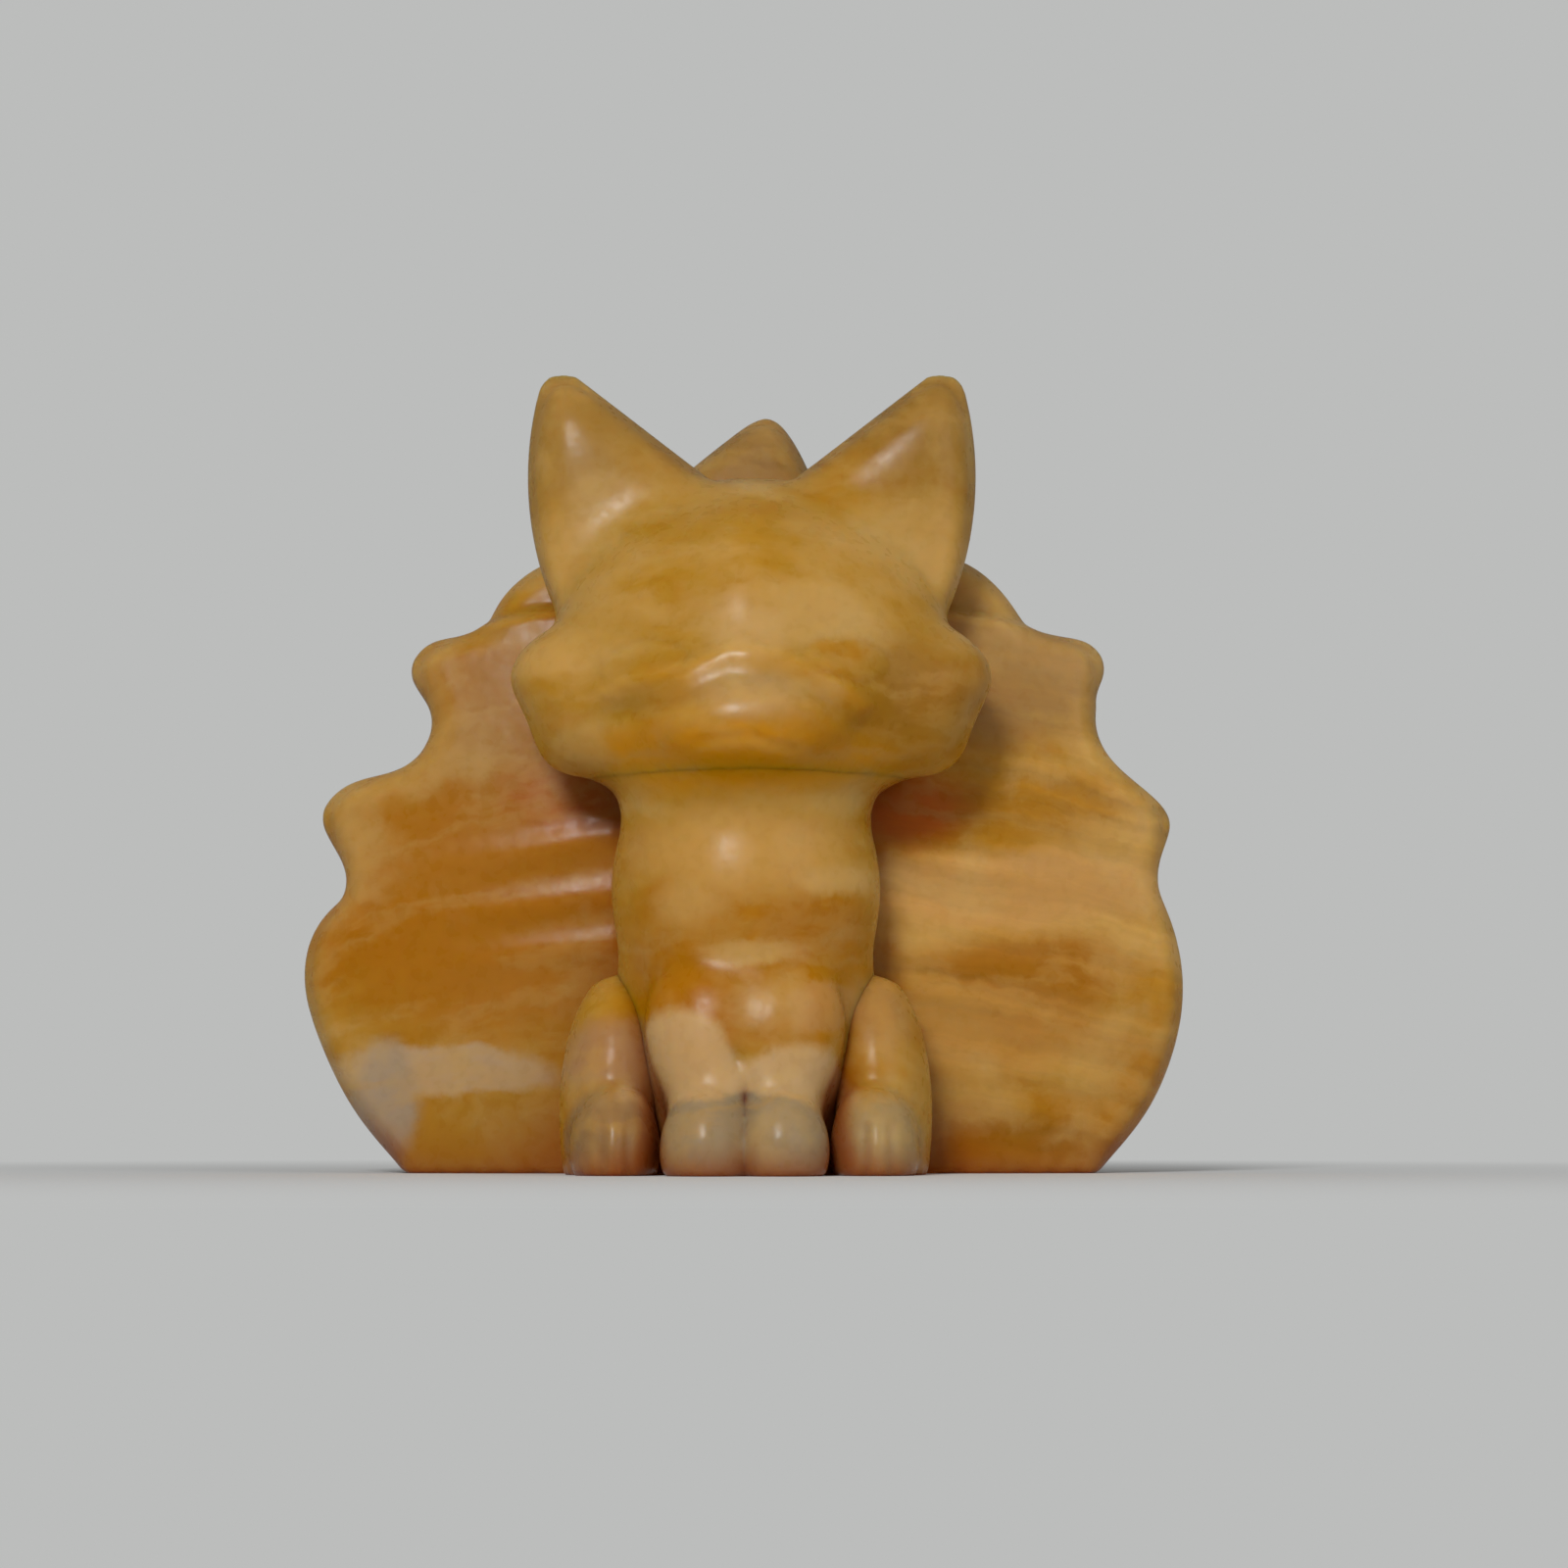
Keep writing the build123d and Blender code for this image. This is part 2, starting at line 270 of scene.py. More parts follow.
    def mark_edges(self, where=1.0):
        """Writes how far each point stands out of the softened form, which is where stone is thin."""
        out, carved = self.normals(), self.points.copy()
        for _ in range(30):
            self.points += POLISH_STEP * self.pull()
        edge = self.spread(np.einsum("ij,ij->i", carved - self.points, out) * where, 16)
        self.points = carved
        self.store()
        attribute = self.mesh.attributes.new("edge", "FLOAT", "POINT")
        attribute.data.foreach_set("value", edge.astype(np.float32))

    def cut_at(self, level, upper, lap, nodes):
        """The part of this carving above or below a level, with a lap that dips under the other part."""
        part = Carving.__new__(Carving)
        part.nodes = nodes
        part.mesh = self.mesh.copy()
        past = np.clip((level - self.points[:, 2]) * (1 if upper else -1), 0, lap)
        dipped = self.points - self.normals() * (past**2 * 0.2)[:, None]
        part.mesh.vertices.foreach_set("co", dipped.astype(np.float32).ravel())
        work = bmesh.new()
        work.from_mesh(part.mesh)
        trim = level - lap if upper else level + lap
        bmesh.ops.bisect_plane(
            work, geom=work.verts[:] + work.edges[:] + work.faces[:], plane_co=(0, 0, trim),
            plane_no=(0, 0, 1), clear_inner=upper, clear_outer=not upper,
        )
        bmesh.ops.holes_fill(work, edges=[edge for edge in work.edges if edge.is_boundary])
        work.to_mesh(part.mesh)
        work.free()
        return part

    def done(self, name):
        """The finished piece in metres, riding on the part in place of its nodes."""
        self.mesh.transform(Matrix.Scale(1 / MM, 4))
        self.mesh.name = name
        self.mesh.materials.clear()
        self.mesh.materials.append(polished_calcite())
        piece = bpy.data.objects.new(name, self.mesh)
        bpy.context.scene.collection.objects.link(piece)
        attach(piece, "root")
        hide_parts(*self.nodes)
        return piece


def add_node(tree, kind, sockets=None, **settings):
    """A shader node with its settings, and its sockets set to values or linked to outputs."""
    node = tree.nodes.new(kind)
    for name, value in settings.items():
        setattr(node, name, value)
    for name, value in (sockets or {}).items():
        if isinstance(value, bpy.types.NodeSocket):
            tree.links.new(value, node.inputs[name])
        else:
            node.inputs[name].default_value = value
    return node


# Colour zones of the stone, and zones of painted shadow, shade, glow and highlight: colour, middle and radii
# in millimetres, share of the colour, softness
STONE_AND_LIGHT_ZONES = (
    ("985e00", (-14.0, 4.0, 14.8), (10.0, 9.0, 8.0), 0.88, 0.35),
    ("925f0c", (-14.5, 6.0, 26.0), (8.0, 9.0, 4.5), 0.85, 0.4),
    ("a87e44", (14.5, 4.0, 15.9), (10.5, 9.0, 2.2), 0.9, 0.3),
    ("8c5700", (16.0, 4.0, 11.4), (6.5, 9.0, 2.0), 0.85, 0.35),
    ("825200", (13.0, 4.0, 1.0), (8.5, 9.0, 2.6), 0.8, 0.4),
    ("a27536", (13.0, 4.0, 7.8), (8.0, 9.0, 2.6), 0.7, 0.4),
    ("906000", (15.0, 5.0, 20.4), (7.5, 9.0, 2.2), 0.8, 0.4),
    ("87673c", (15.0, 5.0, 28.0), (7.5, 9.0, 4.0), 0.7, 0.4),
    ("986c1b", (-14.5, 4.0, 2.0), (6.0, 9.0, 3.2), 0.8, 0.35),
    # Painted shadow of the cheeks on the tails beside the neck, deep red-brown
    ("9c4800", (8.8, 4.0, 20.4), (3.6, 9.0, 2.0), 0.85, 0.5),
    ("964800", (-9.4, 4.0, 21.2), (3.8, 9.0, 2.0), 0.85, 0.5),
    ("a58a69", (-17.0, 4.0, 5.6), (6.5, 9.0, 1.4), 0.9, 0.2),
    ("948068", (-20.3, 4.0, 4.0), (2.0, 9.0, 3.0), 0.95, 0.3),
    ("9a6300", (1.0, -7.0, 12.2), (8.0, 6.0, 3.6), 0.85, 0.45),
    ("ac8442", (-0.8, -9.0, 17.6), (6.0, 6.0, 2.4), 0.85, 0.5),
    ("945c00", (3.7, -9.0, 13.4), (2.8, 6.0, 1.6), 0.9, 0.4),
    ("965e00", (-4.2, -9.0, 10.8), (3.2, 6.0, 2.0), 0.85, 0.4),
    ("945a00", (-1.8, -9.0, 8.6), (1.8, 6.0, 1.6), 0.8, 0.35),
    ("b28e52", (5.4, -8.0, 15.9), (2.6, 6.0, 0.7), 0.8, 0.5),
    ("b08a4c", (-3.1, -9.0, 14.6), (1.8, 6.0, 1.1), 0.65, 0.5),
    ("b08c52", (0.2, -9.0, 12.0), (2.4, 6.0, 0.6), 0.75, 0.5),
    # Painted glow under the jaw, brighter and warmer where the jaw lies in shade
    ("ae7500", (0.6, -9.0, 22.4), (11.5, 7.0, 1.7), 0.95, 0.4),
    ("906000", (5.5, -9.0, 24.4), (4.0, 6.0, 1.6), 0.7, 0.4),
    # Painted shade on the right cheek, which is darker than the left
    ("7e5610", (9.6, -6.0, 26.0), (3.4, 6.0, 3.4), 0.7, 0.45),
    ("986500", (5.2, -9.0, 28.1), (1.7, 5.0, 0.5), 0.8, 0.4),
    ("a0743a", (4.2, -8.0, 9.0), (2.2, 5.0, 1.3), 0.85, 0.2),
    ("ac8a5b", (-3.2, -9.0, 4.6), (3.4, 5.0, 4.2), 1.0, 0.12),
    ("ac8c60", (2.4, -9.0, 3.8), (3.6, 5.0, 3.4), 1.0, 0.12),
    ("847256", (0.0, -11.0, 1.8), (5.6, 5.0, 2.6), 0.95, 0.1),
    ("967048", (-7.6, -5.0, 6.4), (2.8, 6.0, 1.9), 0.9, 0.35),
    ("7a5e3c", (-7.4, -8.0, 1.6), (3.2, 5.0, 2.8), 0.9, 0.15),
    ("98723e", (7.4, -4.0, 8.4), (1.8, 6.0, 2.6), 0.8, 0.35),
    ("8a7550", (7.2, -8.0, 1.8), (3.2, 5.0, 2.6), 0.95, 0.12),
    # Painted highlights on the tip of the nose and on the bridge of the face
    ("a28153", (0.0, -13.0, 25.6), (2.6, 4.5, 1.2), 0.8, 0.5),
    ("af8b54", (0.2, -13.0, 29.2), (2.4, 4.5, 1.8), 0.7, 0.5),
    # Painted shade on the thin ears, the right ear darker than the left
    ("8a682c", (-9.6, 0.0, 43.0), (5.0, 5.0, 8.0), 0.85, 0.4),
    ("806024", (10.2, 0.0, 43.0), (5.0, 5.0, 8.0), 0.85, 0.4),
    ("806130", (0.6, 6.0, 40.0), (14.0, 9.0, 8.5), 0.85, 0.25),
)


def zone(tree, place, centre, radii, share, soft):
    """How much of a zone's colour shows: its share inside an egg of stone, and none outside it."""
    offset = add_node(tree, "ShaderNodeVectorMath", {0: place, 1: centre}, operation="SUBTRACT")
    scaled = add_node(tree, "ShaderNodeVectorMath", {0: offset.outputs[0], 1: radii}, operation="DIVIDE")
    reach = add_node(tree, "ShaderNodeVectorMath", {0: scaled.outputs[0]}, operation="LENGTH")
    return add_node(tree, "ShaderNodeMapRange", {
        "Value": reach.outputs["Value"], "From Min": 1 + soft, "From Max": 1 - soft,
        "To Min": 0.0, "To Max": share,
    }, interpolation_type="SMOOTHSTEP").outputs["Result"]


def polished_calcite():
    """Polished orange calcite: a waxy, see-into stone with soft growth bands and a dull gloss."""
    found = bpy.data.materials.get("polished_orange_calcite")
    if found:
        return found
    stone = bpy.context.scene.fox_stone
    material = bpy.data.materials.new("polished_orange_calcite")
    material.use_nodes = True
    tree = material.node_tree
    tree.nodes.clear()

    # Places in millimetres, pushed about a little so that no band or zone has a ruled edge
    place = add_node(tree, "ShaderNodeTexCoord").outputs["Object"]
    place = add_node(tree, "ShaderNodeVectorMath", {0: place, "Scale": MM}, operation="SCALE").outputs[0]
    drift = add_node(tree, "ShaderNodeTexNoise", {
        "Vector": place, "Scale": 1 / stone.cloud_size, "Detail": 8.0, "Roughness": 0.66,
    })
    drift = add_node(tree, "ShaderNodeVectorMath", {0: drift.outputs["Color"], 1: (0.5, 0.5, 0.5)},
                     operation="SUBTRACT").outputs[0]
    drift = add_node(tree, "ShaderNodeVectorMath", {0: drift, "Scale": stone.cloud_drift},
                     operation="SCALE").outputs[0]
    warped = add_node(tree, "ShaderNodeVectorMath", {0: place, 1: drift}, operation="ADD").outputs[0]

    # Growth bands arch over the middle of the stone: broad clouds, thin veins, fine lines
    square = add_node(tree, "ShaderNodeVectorMath", {0: warped, 1: warped}, operation="MULTIPLY").outputs[0]
    arch = add_node(tree, "ShaderNodeVectorMath", {0: square, 1: (stone.band_arch, 0, 0)},
                    operation="DOT_PRODUCT")
    arch = add_node(tree, "ShaderNodeCombineXYZ", {"Z": arch.outputs["Value"]}).outputs[0]
    arched = add_node(tree, "ShaderNodeVectorMath", {0: warped, 1: arch}, operation="ADD").outputs[0]
    bands = {}
    for name, height, along in (
        ("cloud", stone.cloud_height, 0.35), ("vein", stone.vein_gap, 0.3), ("line", stone.line_height, 0.03),
    ):
        laid = add_node(tree, "ShaderNodeMapping", {
            "Vector": arched, "Rotation": (0.05, 0.02, 0.0),
            "Scale": (along / height, along / height, 1 / height),
        })
        bands[name] = add_node(tree, "ShaderNodeTexNoise", {
            "Vector": laid.outputs[0], "Scale": 1.0, "Detail": 6.0, "Roughness": 0.58,
        }).outputs["Fac"]
    ramp = add_node(tree, "ShaderNodeValToRGB", {"Fac": bands["cloud"]})
    ramp.color_ramp.elements[0].position = 0.4
    ramp.color_ramp.elements[0].color = (*stone.amber, 1)
    ramp.color_ramp.elements[1].position = 0.62
    ramp.color_ramp.elements[1].color = (*stone.cream, 1)
    middle = ramp.color_ramp.elements.new(0.5)
    middle.color = (*stone.honey, 1)
    colour = ramp.outputs["Color"]

    # Zones where the stone is deeper or paler, and zones of painted shadow, shade, glow and highlight
    for hex_colour, centre, radii, share, soft in STONE_AND_LIGHT_ZONES:
        inside = zone(tree, warped, centre, radii, share, soft)
        colour = add_node(tree, "ShaderNodeMix", {
            "Factor": inside, "A": colour, "B": (*linear(hex_colour), 1),
        }, data_type="RGBA").outputs["Result"]

    # Feathery white clouds float in the honey
    feather = add_node(tree, "ShaderNodeTexNoise", {
        "Vector": warped, "Scale": 1 / stone.feather_size, "Detail": 5.0, "Roughness": 0.55,
        "Distortion": 0.3,
    })
    feather = add_node(tree, "ShaderNodeMapRange", {
        "Value": feather.outputs["Fac"], "From Min": 0.48, "From Max": 0.72, "To Min": 0.0, "To Max": 0.5,
    }, interpolation_type="SMOOTHSTEP")
    colour = add_node(tree, "ShaderNodeMix", {
        "Factor": feather.outputs["Result"], "A": colour, "B": (*stone.milk, 1),
    }, data_type="RGBA").outputs["Result"]

    # Cream veins follow the clouds, and fine lines show most on the right of the fan
    off = add_node(tree, "ShaderNodeMath", {0: bands["vein"], 1: 0.5}, operation="SUBTRACT").outputs[0]
    off = add_node(tree, "ShaderNodeMath", {0: off}, operation="ABSOLUTE").outputs[0]
    vein = add_node(tree, "ShaderNodeMapRange", {
        "Value": off, "From Min": 0.0, "From Max": 0.045, "To Min": stone.vein_share, "To Max": 0.0,
    }, interpolation_type="SMOOTHSTEP")
    colour = add_node(tree, "ShaderNodeMix", {
        "Factor": vein.outputs["Result"], "A": colour, "B": (*stone.cream, 1),
    }, data_type="RGBA").outputs["Result"]
    lined = zone(tree, warped, (17.0, 4.0, 14.0), (12.0, 12.0, 17.0), 0.8, 0.25)
    line = add_node(tree, "ShaderNodeMapRange", {
        "Value": bands["line"], "From Min": 0.3, "From Max": 0.7,
        "To Min": -0.4 * stone.line_contrast, "To Max": stone.line_contrast,
    })
    # The real crystal grain is too fine to show, so it is drawn coarser
    grit = add_node(tree, "ShaderNodeTexNoise", {
        "Vector": place, "Scale": 1 / stone.grain_size, "Detail": 1.0,
    })
    mottle = add_node(tree, "ShaderNodeMapRange", {
        "Value": grit.outputs["Fac"], "From Min": 0.3, "From Max": 0.7,
        "To Min": 1 - stone.mottle_contrast, "To Max": 1 + stone.mottle_contrast,
    })
    line = add_node(tree, "ShaderNodeMath", {
        0: line.outputs["Result"], 1: lined, 2: mottle.outputs["Result"],
    }, operation="MULTIPLY_ADD").outputs[0]
    colour = add_node(tree, "ShaderNodeVectorMath", {0: colour, "Scale": line}, operation="SCALE").outputs[0]

    # Thin edges are painted greyer, as painted see-through light
    edge = add_node(tree, "ShaderNodeAttribute", attribute_name="edge").outputs["Fac"]
    thin = add_node(tree, "ShaderNodeMapRange", {
        "Value": edge, "From Min": 0.06, "From Max": 0.35, "To Min": 0.0, "To Max": 0.6,
    })
    colour = add_node(tree, "ShaderNodeMix", {
        "Factor": thin.outputs["Result"], "A": colour, "B": (*stone.see_through_light, 1),
    }, data_type="RGBA").outputs["Result"]
    # Creases that the AO node finds close are painted deep red-brown: painted crease shade
    crease = add_node(tree, "ShaderNodeAmbientOcclusion", {"Distance": 0.006}, samples=6)
    crease = add_node(tree, "ShaderNodeMapRange", {
        "Value": crease.outputs["AO"], "From Min": 0.66, "From Max": 0.26, "To Min": 0.0, "To Max": 0.85,
    })
    colour = add_node(tree, "ShaderNodeMix", {
        "Factor": crease.outputs["Result"], "A": colour, "B": (*stone.crease_shade, 1),
    }, data_type="RGBA").outputs["Result"]

    # The polish is a little uneven, and ripples where the bands differ in hardness
    gloss = add_node(tree, "ShaderNodeMapRange", {
        "Value": grit.outputs["Fac"], "From Min": 0.3, "From Max": 0.7, "To Min": 0.24, "To Max": 0.36,
    })
    ripple = add_node(tree, "ShaderNodeTexNoise", {
        "Vector": place, "Scale": 1 / stone.ripple_size, "Detail": 1.0,
    })
    bump = add_node(tree, "ShaderNodeBump", {
        "Height": ripple.outputs["Fac"], "Strength": 0.06, "Distance": 0.0003,
    })
    shader = add_node(tree, "ShaderNodeBsdfPrincipled", {
        "Base Color": colour, "Roughness": gloss.outputs["Result"], "Normal": bump.outputs["Normal"],
        "IOR": 1.5, "Specular IOR Level": 0.11, "Subsurface Weight": 0.85,
        "Subsurface Radius": (1.0, 0.6, 0.2), "Subsurface Scale": 0.0035,
    })
    add_node(tree, "ShaderNodeOutputMaterial", {"Surface": shader.outputs["BSDF"]})
    return material


# The matt tooth of the laminate, in millimetres
LAMINATE_TOOTH = 0.8


def studio_laminate(colour, room_colour):
    """Pale matt laminate under the figurine: an even sheet that fades into the room far away."""
    material = bpy.data.materials.new("matt_pale_laminate")
    material.use_nodes = True
    tree = material.node_tree
    tree.nodes.clear()
    place = add_node(tree, "ShaderNodeTexCoord").outputs["Object"]
    tooth = add_node(tree, "ShaderNodeTexNoise", {
        "Vector": place, "Scale": MM / LAMINATE_TOOTH, "Detail": 2.0,
    })
    bump = add_node(tree, "ShaderNodeBump", {
        "Height": tooth.outputs["Fac"], "Strength": 0.05, "Distance": 0.0002,
    })
    sheet = add_node(tree, "ShaderNodeBsdfPrincipled", {
        "Base Color": (*colour, 1), "Roughness": 0.75, "Normal": bump.outputs["Normal"],
    })
    away = add_node(tree, "ShaderNodeVectorMath", {0: place}, operation="LENGTH").outputs["Value"]
    fade = add_node(tree, "ShaderNodeMapRange", {"Value": away, "From Min": 0.026, "From Max": 0.1})
    seen = add_node(tree, "ShaderNodeLightPath").outputs["Is Camera Ray"]
    fade = add_node(tree, "ShaderNodeMath", {0: fade.outputs["Result"], 1: seen},
                    operation="MULTIPLY").outputs[0]
    room = add_node(tree, "ShaderNodeEmission", {"Color": (*room_colour, 1)})
    both = add_node(tree, "ShaderNodeMixShader", {0: fade, 1: sheet.outputs[0], 2: room.outputs[0]})
    add_node(tree, "ShaderNodeOutputMaterial", {"Surface": both.outputs[0]})
    return material


class FoxCarvingSettings(bpy.types.PropertyGroup):
    """Sizes of the carving."""

    fine_mesh: FloatProperty(
        name="Fine mesh", description="Edge length of the skin on the head, body and legs",
        default=0.00024, unit="LENGTH", precision=5)
    fan_mesh: FloatProperty(
        name="Fan mesh", description="Edge length of the skin on the tails",
        default=0.00028, unit="LENGTH", precision=5)
    eye_height: FloatProperty(
        name="Eye height", description="How far the eyes stand out, in millimetres", default=0.22)
    lid_depth: FloatProperty(
        name="Lid depth", description="Depth of the line round each closed eye, in millimetres", default=0.08)
    bridge_height: FloatProperty(
        name="Bridge height", description="Height of the ridge down the face, in millimetres", default=0.3)
    jaw_fill: FloatProperty(
        name="Jaw fill", description="How far the jaw comes forward under the muzzle, in millimetres",
        default=0.9)
    fold_height: FloatProperty(
        name="Fold height", description="Height of the fold above the muzzle, in millimetres", default=0.28)
    dimple_depth: FloatProperty(
        name="Dimple depth", description="Depth of the dimple between the legs, in millimetres", default=0.25)
    tier_depth: FloatProperty(
        name="Tier depth", description="How far the top tails lie behind the others, in millimetres",
        default=1.0)
    mouth_depth: FloatProperty(
        name="Mouth depth", description="Depth of the mouth line, in millimetres", default=0.1)
    flute_height: FloatProperty(
        name="Flute height", description="Height of the ridges on the tails, in millimetres", default=0.2)
    toe_depth: FloatProperty(
        name="Toe depth", description="Depth of the cuts between toes, in millimetres", default=0.14)


class FoxStoneSettings(bpy.types.PropertyGroup):
    """Colours and pattern sizes of the calcite, with the colours of its painted crease shade and see-through
    light.
    """

    amber: FloatVectorProperty(
        name="Amber", description="Deep bands", subtype="COLOR", default=linear("966200"), min=0, max=1)
    honey: FloatVectorProperty(
        name="Honey", description="Ordinary bands", subtype="COLOR", default=linear("9c711c"), min=0, max=1)
    cream: FloatVectorProperty(
        name="Cream", description="Pale bands", subtype="COLOR", default=linear("a98342"), min=0, max=1)
    milk: FloatVectorProperty(
        name="Milk", description="Feathery clouds", subtype="COLOR", default=linear("ae8e54"), min=0, max=1)
    # Painted shade for the creases, deep red-brown
    crease_shade: FloatVectorProperty(
        name="Ember", description="Glow in the creases", subtype="COLOR",
        default=linear("803600"), min=0, max=1)
    # Painted see-through light, greyish, on thin edges
    see_through_light: FloatVectorProperty(
        name="Olive", description="Thin edges", subtype="COLOR", default=linear("8f7a50"), min=0, max=1)
    cloud_height: FloatProperty(name="Cloud height", description="Broad bands, in millimetres", default=6.0)
    feather_size: FloatProperty(
        name="Feather size", description="Feathery white clouds, in millimetres", default=6.0)
    vein_gap: FloatProperty(name="Vein gap", description="Between cream veins, in millimetres", default=7.0)
    vein_share: FloatProperty(name="Veins", description="Strength of the cream veins", default=0.3)
    band_arch: FloatProperty(
        name="Band arch", description="Drop of the bands towards the sides, per square millimetre",
        default=0.006)
    line_height: FloatProperty(
        name="Line height", description="Fine growth lines, in millimetres", default=0.9)
    line_contrast: FloatProperty(name="Line contrast", description="Strength of the fine lines", default=0.3)
    cloud_size: FloatProperty(
        name="Cloud size", description="Clouds that warp the bands, in millimetres", default=5.0)
    cloud_drift: FloatProperty(
        name="Cloud drift", description="How far the clouds push, in millimetres", default=2.4)
    mottle_contrast: FloatProperty(
        name="Mottle contrast", description="Strength of the fine crystal grain", default=0.035)
    grain_size: FloatProperty(
        name="Grain size", description="Fine crystal grain, in millimetres", default=0.7)
    ripple_size: FloatProperty(
        name="Ripple size", description="Ripples in the polish, in millimetres", default=1.0)


class FoxStageSettings(bpy.types.PropertyGroup):
    """Camera, floor and lamps."""

    camera_place: FloatVectorProperty(
        name="Camera", description="Where the camera stands", subtype="XYZ", unit="LENGTH",
        default=(0.0021, -0.245, 0.0028))
    camera_pitch: FloatProperty(
        name="Pitch", description="How far the camera looks up", subtype="ANGLE", default=math.radians(4.4))
    lens: FloatProperty(name="Lens", description="Focal length on a 36 mm sensor", default=101.25)
    floor_colour: FloatVectorProperty(
        name="Floor", description="Pale laminate", subtype="COLOR", default=linear("cecfce"), min=0, max=1)
    room_colour: FloatVectorProperty(
        name="Room", description="Pale room behind", subtype="COLOR", default=linear("bcbdbc"), min=0, max=1)
    key_power: FloatProperty(name="Key", description="Soft lamp over the camera", unit="POWER", default=3.1)
    fill_power: FloatProperty(name="Fill", description="Soft lamp from the right", unit="POWER", default=0.8)
    sky: FloatProperty(name="Sky", description="Brightness of the room's own light", default=0.24)


class FOX_OT_carve_figure(bpy.types.Operator):
    """Carves head and body from one block, so that the neck runs into the jaw, and parts them there"""

    bl_idname = "fox.carve_figure"
    bl_label = "Carve head and body"

    def execute(self, context):
        sizes = context.scene.fox_carving
        figure = Carving(HEAD_NODES + BODY_NODES, sizes.fine_mesh)
        z = figure.points[:, 2]
        face = smooth_step(32.5, 29.5, z)
        figure.fill_creases(60, face)
        jaw = blob(figure.points, (0.3, 22.6), (6.5, 1.4)) * smooth_step(-6.0, -9.0, figure.points[:, 1])
        figure.points[:, 1] -= sizes.jaw_fill * jaw
        muzzle = blob(figure.points, (0.3, 24.2), (9.0, 4.4)) * figure.facing(-0.6, 0.0)
        figure.fill_creases(300, np.clip(1.6 * muzzle, 0, 1))
        figure.round_over(220, np.clip(1.5 * muzzle, 0, 1))
        figure.round_over(130, smooth_step(32.0, 36.0, z))
        figure.fill_creases(320, np.clip(2 * blob(figure.points, (0.0, 2.0), (2.0, 3.5)), 0, 1))
        figure.soften(8)

        front = figure.facing()
        points = figure.points
        bridge = stroke(points, BRIDGE, 2.0)
        eyes = sum(blob(points, *eye) for eye in EYES)
        lids = np.exp(-(((eyes - 0.37) / 0.1) ** 2))
        mouth = stroke(points, MOUTH, 0.3)
        fold = stroke(points - (0, 0, 0.5), MUZZLE_FOLD, 0.7) - stroke(points + (0, 0, 0.7), MUZZLE_FOLD, 0.8)
        dimple = blob(points, (-0.5, 6.3), (0.7, 0.7))
        figure.press(front * (
            sizes.mouth_depth * mouth + sizes.dimple_depth * dimple
            + sizes.lid_depth * lids - sizes.eye_height * eyes
            - sizes.fold_height * fold - sizes.bridge_height * bridge
        ))
        figure.soften(1)
        figure.meet(("left_thigh", "right_thigh"), 3.0, 3.0)
        figure.lean(1.6, 0.5, 0.8)
        figure.mark_edges(smooth_step(31.0, 36.0, figure.points[:, 2]))
        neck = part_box("torso")[1][2] * MM
        figure.cut_at(neck, True, NECK_LAP, HEAD_NODES).done("head_carving")
        figure.cut_at(neck, False, NECK_LAP, BODY_NODES).done("body_carving")
        return {"FINISHED"}


class FOX_OT_carve_hind_legs(bpy.types.Operator):
    """Carves each thigh and hind paw at the sides of the body"""

    bl_idname = "fox.carve_hind_legs"
    bl_label = "Carve hind legs"

    def execute(self, context):
        sizes = context.scene.fox_carving
        for name, nodes, toe_x in (
            ("left_hind_leg", LEFT_LEG_NODES, (-7.6, -6.2)),
            ("right_hind_leg", RIGHT_LEG_NODES, (6.4, 7.8)),
        ):
            leg = Carving(nodes, sizes.fine_mesh)
            leg.fill_creases(24)
            leg.soften(6)
            front = leg.facing()
            for x in toe_x:
                leg.press(front * sizes.toe_depth * stroke(leg.points, ((x, 0.0), (x, 2.6)), 0.3))
            leg.soften(1)
            leg.meet(("torso", "left_foreleg", "right_foreleg"), 4.0, 2.4)
            leg.lean(4.5, 1.25, 0.8)
            leg.done(name)
        return {"FINISHED"}


class FOX_OT_carve_tails(bpy.types.Operator):
    """Carves the fan of nine tails, fluted in front and parted behind"""

    bl_idname = "fox.carve_tails"
    bl_label = "Carve tails"

    def execute(self, context):
        sizes = context.scene.fox_carving
        fan = Carving(TAIL_NODES, sizes.fan_mesh)
        fan.soften(4)
        out = fan.normals()
        wall = (np.abs(out[:, 1]) < 0.5) & (out[:, 2] > -0.8)
        rim = np.clip(2.5 * fan.spread(wall.astype(float), 30), 0, 1)
        fan.round_over(90, rim * smooth_step(0.0, 1.0, fan.points[:, 2]))
        fan.soften(6)
        x, y, z = fan.points.T
        upper_tier = smooth_step(0.0, 0.5, z - 31.5 + 0.15 * np.maximum(np.abs(x) - 11.0, 0))
        fan.points[:, 1] += sizes.tier_depth * upper_tier * smooth_step(-5.0, -1.5, fan_front(fan.points))
        fade = smooth_step(21.0, 10.0, np.abs(x))
        flutes = sum(stroke(fan.points, path, 0.8) for path in FLUTES)
        fan.press(fan.facing() * fade * -sizes.flute_height * flutes)
        fan.soften(4)
        fan.mark_edges()
        fan.done("tail_fan")
        return {"FINISHED"}


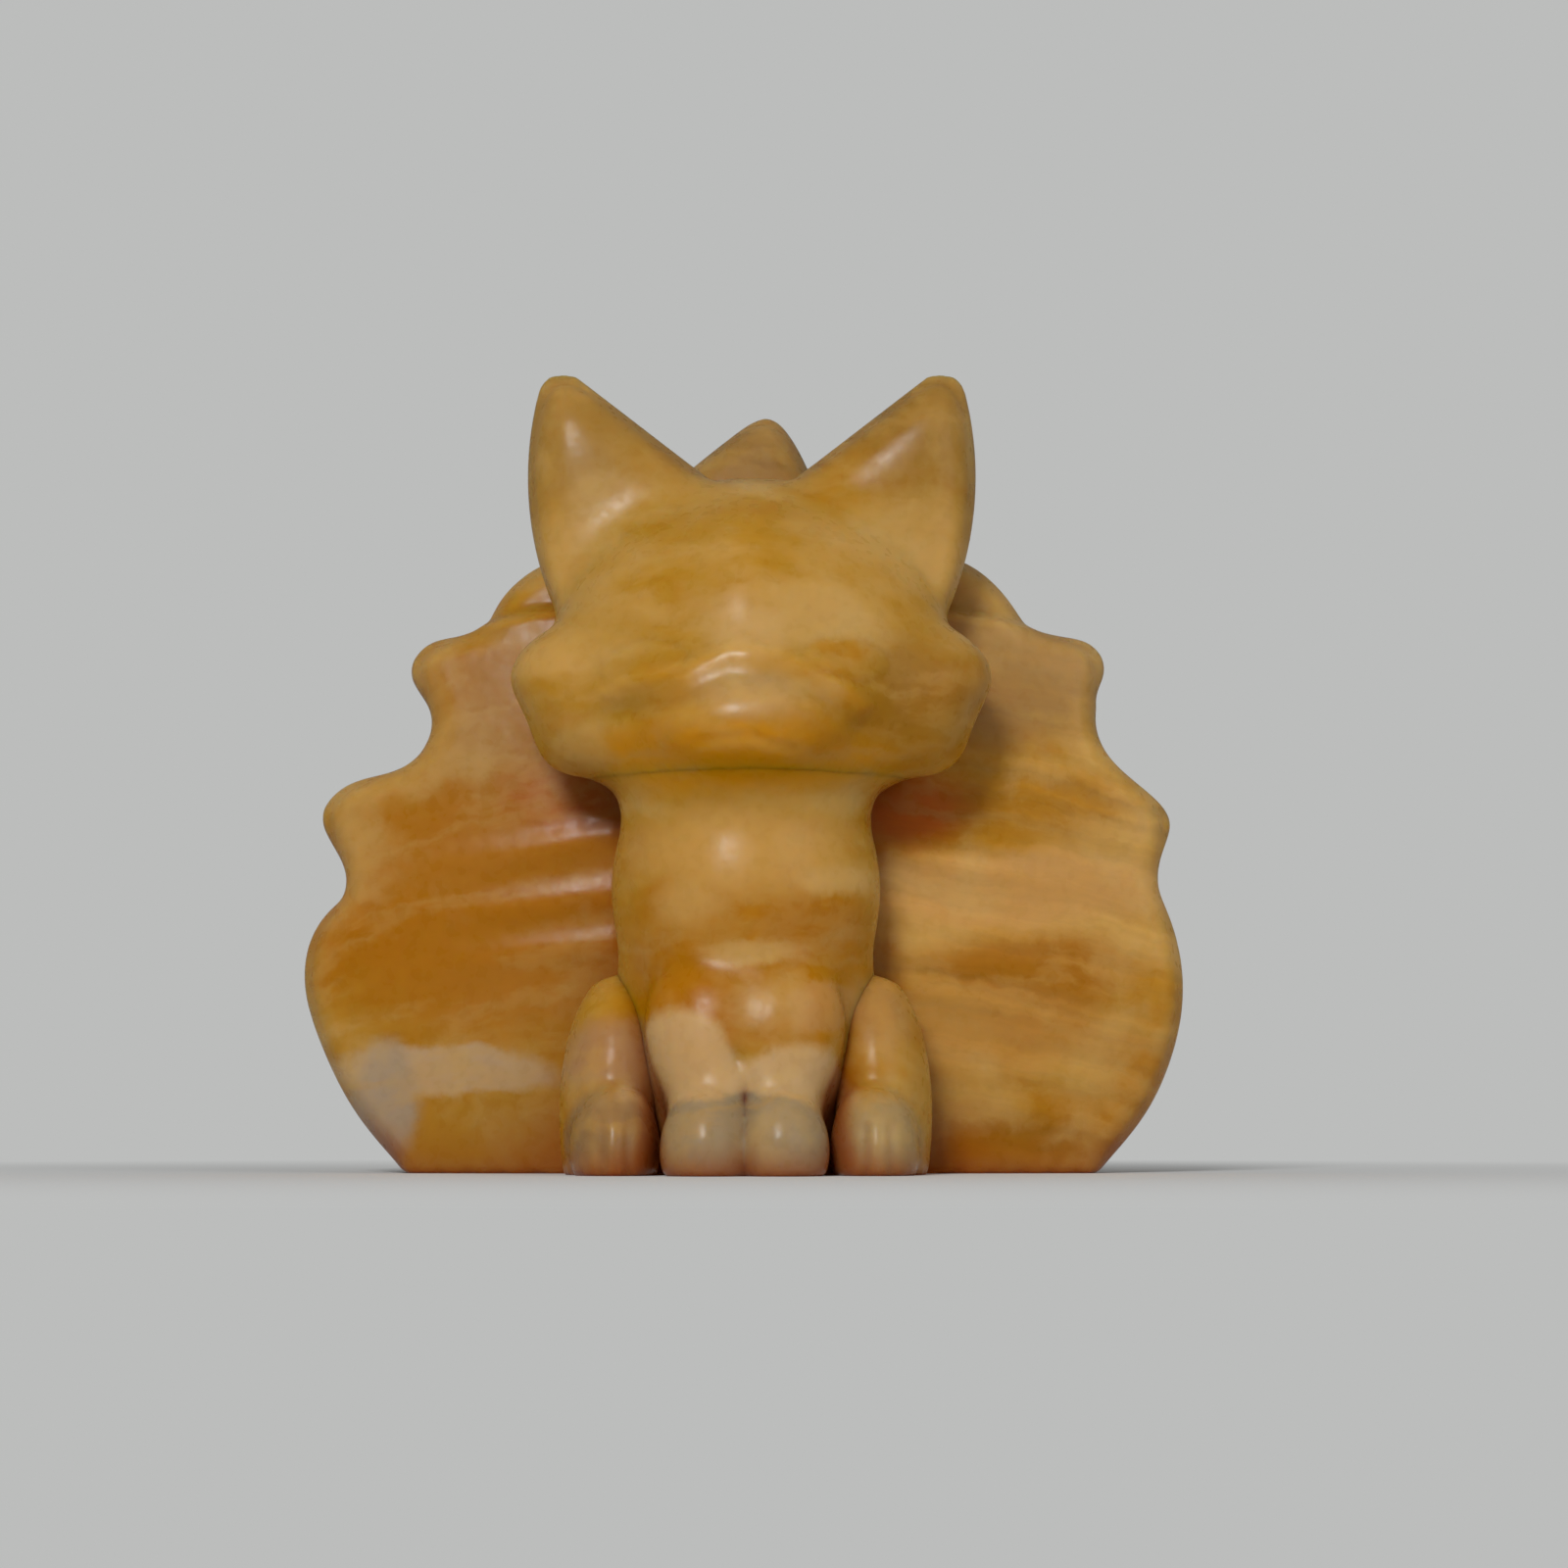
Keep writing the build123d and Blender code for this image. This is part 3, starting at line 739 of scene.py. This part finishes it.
class FOX_OT_set_stage(bpy.types.Operator):
    """Sets the floor, the soft lamps and the camera"""

    bl_idname = "fox.set_stage"
    bl_label = "Set stage"

    def execute(self, context):
        stage = context.scene.fox_stage
        ground = bmesh.new()
        bmesh.ops.create_circle(ground, cap_ends=True, radius=6.0, segments=64)
        sheet = bpy.data.meshes.new("floor")
        ground.to_mesh(sheet)
        ground.free()
        sheet.materials.append(studio_laminate(stage.floor_colour, stage.room_colour))
        floor = bpy.data.objects.new("floor", sheet)
        context.scene.collection.objects.link(floor)

        aim = Vector((0.0, 0.0, 0.02))
        for name, place, width, power in (
            ("key_lamp", (-0.13, -0.54, 0.29), 0.14, stage.key_power),
            ("fill_lamp", (0.36, -0.40, 0.20), 0.35, stage.fill_power),
        ):
            lamp = bpy.data.lights.new(name, "AREA")
            lamp.size = width
            lamp.energy = power
            holder = bpy.data.objects.new(name, lamp)
            holder.location = place
            holder.rotation_euler = (aim - Vector(place)).to_track_quat("-Z", "Y").to_euler()
            context.scene.collection.objects.link(holder)

        world = bpy.data.worlds.new("pale_room")
        world.use_nodes = True
        tree = world.node_tree
        tree.nodes.clear()
        seen = add_node(tree, "ShaderNodeLightPath").outputs["Is Camera Ray"]
        glow = add_node(tree, "ShaderNodeBackground", {"Color": (1, 1, 1, 1), "Strength": stage.sky})
        wall = add_node(tree, "ShaderNodeBackground", {"Color": (*stage.room_colour, 1), "Strength": 1.0})
        both = add_node(tree, "ShaderNodeMixShader", {0: seen, 1: glow.outputs[0], 2: wall.outputs[0]})
        add_node(tree, "ShaderNodeOutputWorld", {"Surface": both.outputs[0]})
        context.scene.world = world

        lens = bpy.data.cameras.new("front_camera")
        lens.lens = stage.lens
        lens.sensor_width = 36.0
        lens.clip_start = 0.01
        camera = bpy.data.objects.new("front_camera", lens)
        camera.location = stage.camera_place
        camera.rotation_euler = (math.pi / 2 + stage.camera_pitch, 0.0, 0.0)
        context.scene.collection.objects.link(camera)
        context.scene.camera = camera
        context.scene.view_settings.view_transform = "Standard"
        return {"FINISHED"}


class FOX_PT_carving(bpy.types.Panel):
    """Lists the carving steps and their sizes"""

    bl_idname = "FOX_PT_carving"
    bl_label = "Carved calcite fox"
    bl_space_type = "VIEW_3D"
    bl_region_type = "UI"
    bl_category = "Fox"

    def draw(self, context):
        for settings in (context.scene.fox_carving, context.scene.fox_stone, context.scene.fox_stage):
            column = self.layout.column()
            for name in settings.__annotations__:
                column.prop(settings, name)
        for operator in OPERATORS:
            self.layout.operator(operator.bl_idname)


OPERATORS = (
    FOX_OT_carve_tails, FOX_OT_carve_figure, FOX_OT_carve_hind_legs, FOX_OT_set_stage,
)
CLASSES = (FoxCarvingSettings, FoxStoneSettings, FoxStageSettings, *OPERATORS, FOX_PT_carving)


def register():
    """Adds the classes and their settings to Blender."""
    for each in CLASSES:
        bpy.utils.register_class(each)
    bpy.types.Scene.fox_carving = PointerProperty(type=FoxCarvingSettings)
    bpy.types.Scene.fox_stone = PointerProperty(type=FoxStoneSettings)
    bpy.types.Scene.fox_stage = PointerProperty(type=FoxStageSettings)


def unregister():
    """Takes the settings and classes out again."""
    del bpy.types.Scene.fox_stage, bpy.types.Scene.fox_stone, bpy.types.Scene.fox_carving
    for each in reversed(CLASSES):
        bpy.utils.unregister_class(each)


def main():
    """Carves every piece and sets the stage."""
    register()
    bpy.ops.fox.carve_tails()
    bpy.ops.fox.carve_figure()
    bpy.ops.fox.carve_hind_legs()
    bpy.ops.fox.set_stage()


if __name__ == "__main__":
    main()
